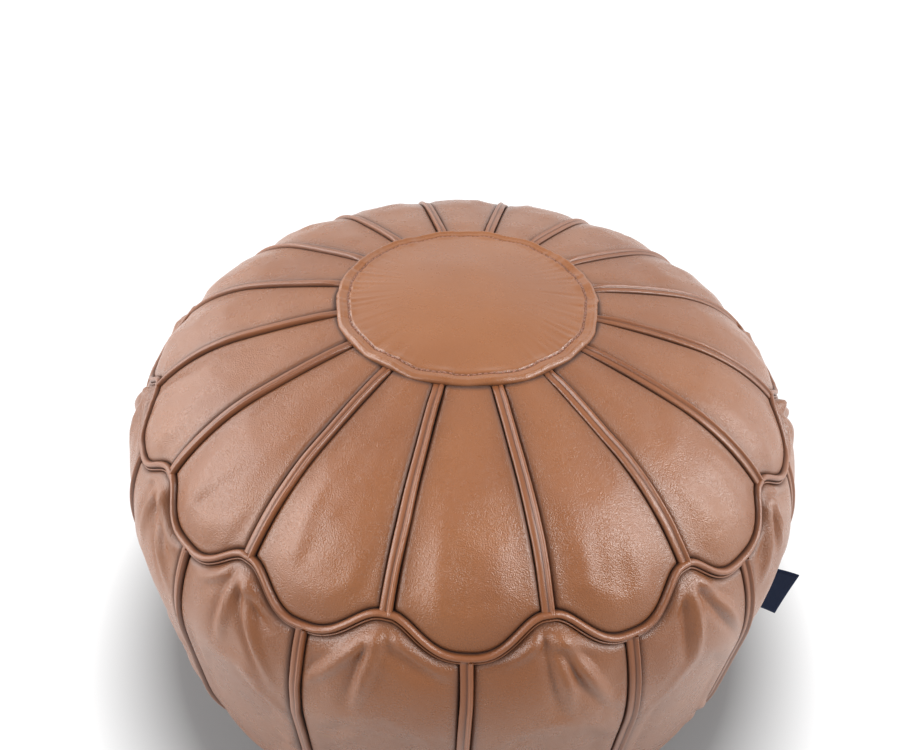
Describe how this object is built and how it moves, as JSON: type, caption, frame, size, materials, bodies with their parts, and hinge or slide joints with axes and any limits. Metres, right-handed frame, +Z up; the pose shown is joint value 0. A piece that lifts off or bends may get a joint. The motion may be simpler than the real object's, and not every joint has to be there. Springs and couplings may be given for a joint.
{
  "type": "moroccan leather pouf",
  "caption": "Round stuffed leather pouf with scalloped petals round a top medallion, panelled sides and a zipped base.",
  "frame": {"origin": "centre of the base, on the floor", "axes": "+Z up; the zip runs along X and its slider is closed at the +X end; the side label is at 22.5 degrees from +X towards -Y"},
  "size_m": [0.5, 0.5, 0.34],
  "materials": {
    "tan_leather": "semi-gloss coated, fine grain",
    "welt_leather": "semi-gloss coated, folded",
    "base_leather": "satin coated",
    "thread": "waxed thread",
    "piping_cord": "twisted cotton",
    "label_weave": "woven satin",
    "liner_cotton": "plain cotton",
    "foam_crumb": "crumb foam",
    "zip_tape": "woven tape",
    "zip_coil": "nylon",
    "zip_metal": "antiqued"
  },
  "bodies": {
    "root": {"petal_01": "tan_leather", "petal_02": "tan_leather", "petal_03": "tan_leather", "petal_04": "tan_leather", "petal_05": "tan_leather", "petal_06": "tan_leather", "petal_07": "tan_leather", "petal_08": "tan_leather", "petal_09": "tan_leather", "petal_10": "tan_leather", "petal_11": "tan_leather", "petal_12": "tan_leather", "petal_13": "tan_leather", "petal_14": "tan_leather", "petal_15": "tan_leather", "petal_16": "tan_leather", "side_panel_01": "tan_leather", "side_panel_02": "tan_leather", "side_panel_03": "tan_leather", "side_panel_04": "tan_leather", "side_panel_05": "tan_leather", "side_panel_06": "tan_leather", "side_panel_07": "tan_leather", "side_panel_08": "tan_leather", "side_panel_09": "tan_leather", "side_panel_10": "tan_leather", "side_panel_11": "tan_leather", "side_panel_12": "tan_leather", "side_panel_13": "tan_leather", "side_panel_14": "tan_leather", "side_panel_15": "tan_leather", "side_panel_16": "tan_leather", "medallion": "tan_leather", "petal_welts": "welt_leather", "side_welts": "welt_leather", "scallop_piping": "welt_leather", "base_panel_front": "base_leather", "base_panel_back": "base_leather", "zip_facing_front": "base_leather", "zip_facing_back": "base_leather", "zip_end_facings": "base_leather", "medallion_stitching": "thread", "piping_cord": "piping_cord", "side_label": "label_weave", "liner_bag": "liner_cotton", "crumb_filling": "foam_crumb", "zip_tape_front": "zip_tape", "zip_tape_back": "zip_tape", "zip_coil_front": "zip_coil", "zip_coil_back": "zip_coil", "zip_top_stops": "zip_metal", "zip_bottom_stop": "zip_metal"},
    "zip_slider": {"zip_slider": "zip_metal"},
    "zip_pull": {"zip_pull": "zip_metal"}
  },
  "joints": [
    {"name": "zip_slide", "type": "slide", "parent": "root", "child": "zip_slider", "axis": [-1, 0, 0], "range_m": [0, 0.277], "deforming": ["zip_coil_front", "zip_coil_back"]},
    {"name": "zip_pull_hinge", "type": "hinge", "parent": "zip_slider", "child": "zip_pull", "pos_m": [0.1395, 0, 0.0035], "axis": [0, -1, 0], "range_deg": [0, 175]}
  ]
}
